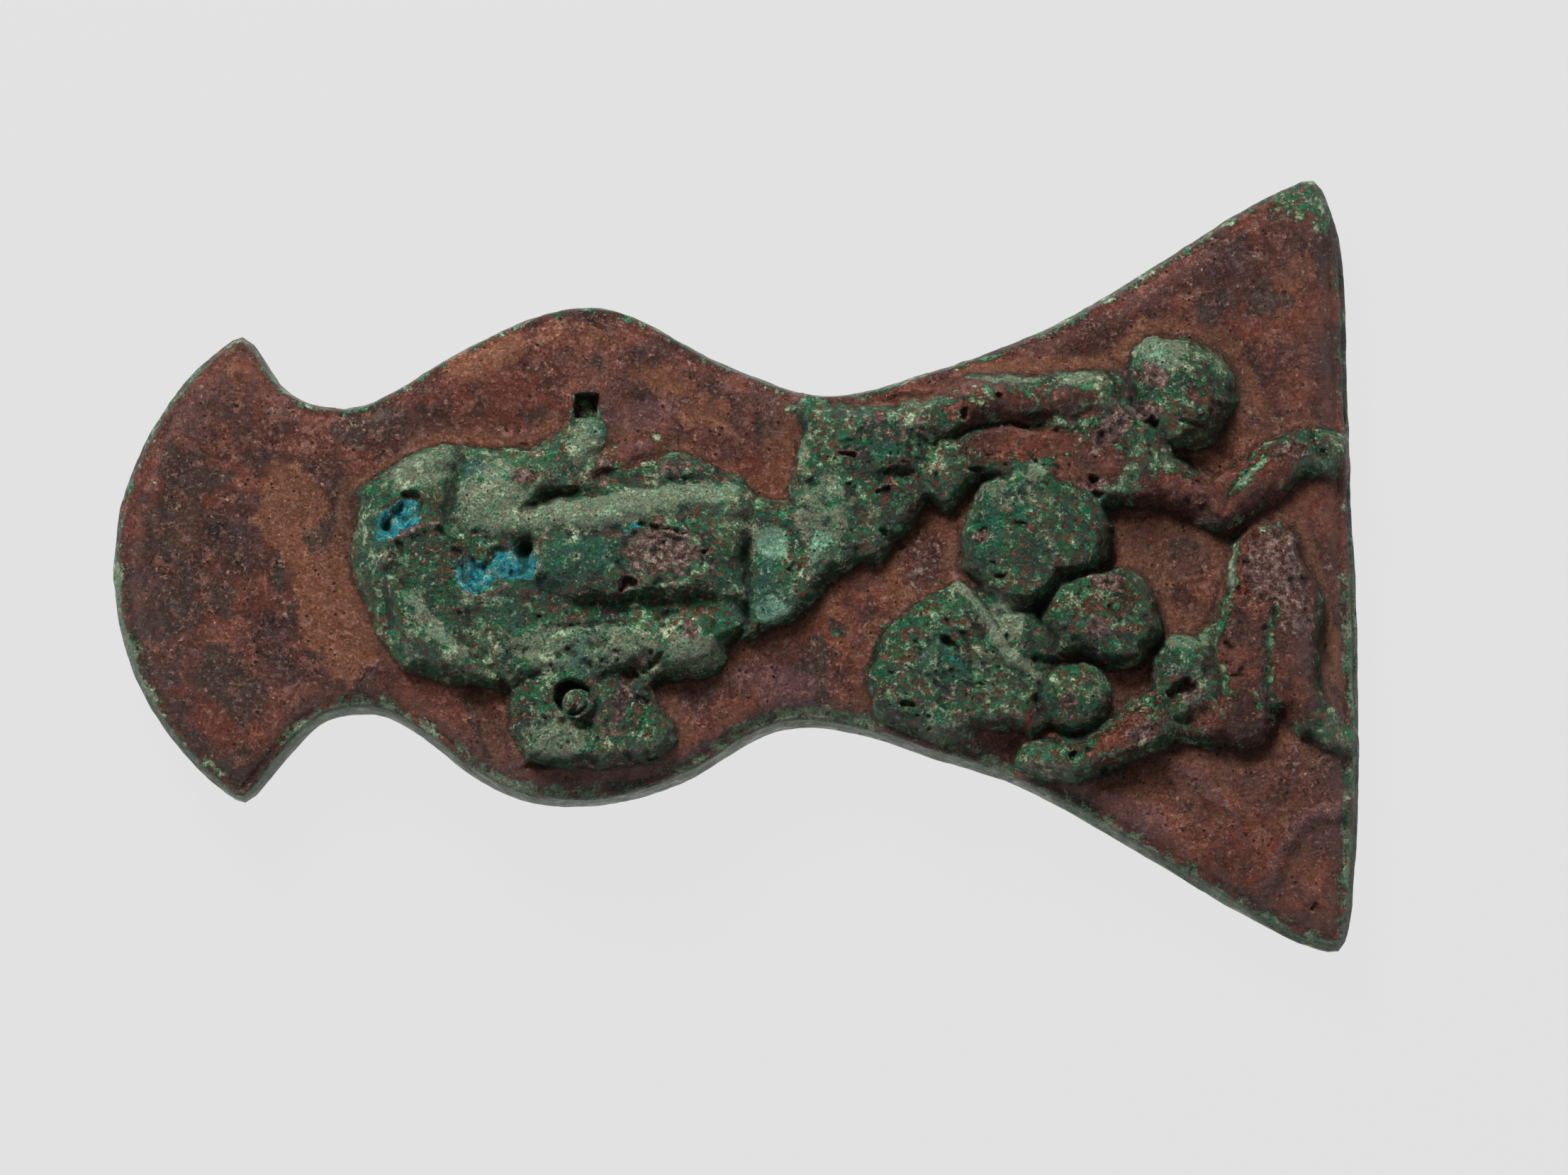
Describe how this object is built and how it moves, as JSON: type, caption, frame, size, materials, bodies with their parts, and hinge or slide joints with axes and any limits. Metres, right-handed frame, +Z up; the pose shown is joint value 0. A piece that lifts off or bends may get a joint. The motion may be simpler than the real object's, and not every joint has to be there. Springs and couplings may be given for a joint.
{
  "type": "bronze axe head",
  "caption": "Cast bronze axe head with a crescent butt, round lobe, waist and fan-shaped blade, its face covered by worn figures in high relief, lying on its flat back.",
  "frame": {"origin": "middle of the bounding box on the flat back that the head lies on", "axes": "+X from the crescent butt to the blade edge, +Y across towards the side of the falling figure's head, +Z up out of the figured face"},
  "size_m": [0.2, 0.1241, 0.0234],
  "materials": {
    "bronze": "red-brown bronze with rough green and blue corrosion on the relief"
  },
  "bodies": {
    "root": {"axe_head": "bronze"}
  },
  "joints": []
}
